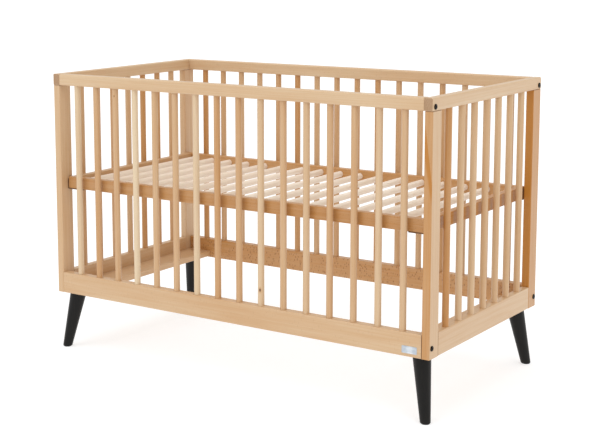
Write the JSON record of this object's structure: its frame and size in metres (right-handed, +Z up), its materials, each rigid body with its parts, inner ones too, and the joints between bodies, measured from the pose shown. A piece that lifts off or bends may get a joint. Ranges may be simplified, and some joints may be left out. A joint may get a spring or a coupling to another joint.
{
  "type": "baby cot",
  "caption": "Beech baby cot with round spindles on every side, a slatted height-adjustable mattress base and splayed black tapered legs.",
  "frame": {"origin": "on the floor, under the middle of the cot", "axes": "+X along the cot towards the end with the name plate, +Y from the front side to the rear side, +Z up"},
  "size_m": [1.2578, 0.6594, 0.833],
  "materials": {
    "beech_long_rail": "clear satin lacquer on steamed beech",
    "beech_end_rail": "clear satin lacquer on steamed beech",
    "beech_post": "clear satin lacquer on steamed beech",
    "beech_spindle": "clear satin lacquer on turned beech",
    "beech_inner": "clear satin lacquer on darker beech",
    "bare_beech": "planed, not lacquered",
    "black_lacquered_beech": "black satin lacquer",
    "black_glide": "matt",
    "black_steel": "black finish, satin",
    "zinc_plated_steel": "zinc plated",
    "brass_insert": "turned brass",
    "silver_plate": "satin anodised, blank"
  },
  "bodies": {
    "frame": {"barrel_nuts": "zinc_plated_steel", "end_bottom_rail_left": "beech_end_rail", "end_bottom_rail_right": "beech_end_rail", "end_panel_dowels": "bare_beech", "end_spindles_left": "beech_spindle", "end_spindles_right": "beech_spindle", "end_top_rail_left": "beech_end_rail", "end_top_rail_right": "beech_end_rail", "foot_glide_front_left": "black_glide", "foot_glide_front_right": "black_glide", "foot_glide_rear_left": "black_glide", "foot_glide_rear_right": "black_glide", "frame_bolts": "black_steel", "front_bottom_rail": "beech_long_rail", "front_spindles": "beech_spindle", "front_top_rail": "beech_long_rail", "height_inserts": "brass_insert", "leg_board_dowels": "bare_beech", "leg_board_left": "beech_inner", "leg_board_right": "beech_inner", "leg_bolts": "zinc_plated_steel", "leg_front_left": "black_lacquered_beech", "leg_front_right": "black_lacquered_beech", "leg_inserts": "brass_insert", "leg_rear_left": "black_lacquered_beech", "leg_rear_right": "black_lacquered_beech", "leg_spacers": "zinc_plated_steel", "long_side_dowels": "bare_beech", "name_plate": "silver_plate", "post_front_left": "beech_post", "post_front_right": "beech_post", "post_rear_left": "beech_post", "post_rear_right": "beech_post", "rear_bottom_rail": "beech_long_rail", "rear_spindles": "beech_spindle", "rear_top_rail": "beech_long_rail"},
    "mattress_base": {"base_bars": "bare_beech", "base_bracket_front_left": "black_steel", "base_bracket_front_right": "black_steel", "base_bracket_rear_left": "black_steel", "base_bracket_rear_right": "black_steel", "base_dowels": "bare_beech", "base_end_rail_left": "beech_inner", "base_end_rail_right": "beech_inner", "base_lock_bolts": "black_steel", "base_long_rail_front": "beech_inner", "base_long_rail_rear": "beech_inner", "bracket_screws": "zinc_plated_steel"}
  },
  "joints": [
    {"name": "base_height", "type": "slide", "parent": "frame", "child": "mattress_base", "axis": [0, 0, 1], "range_m": [-0.2912, 0]}
  ]
}
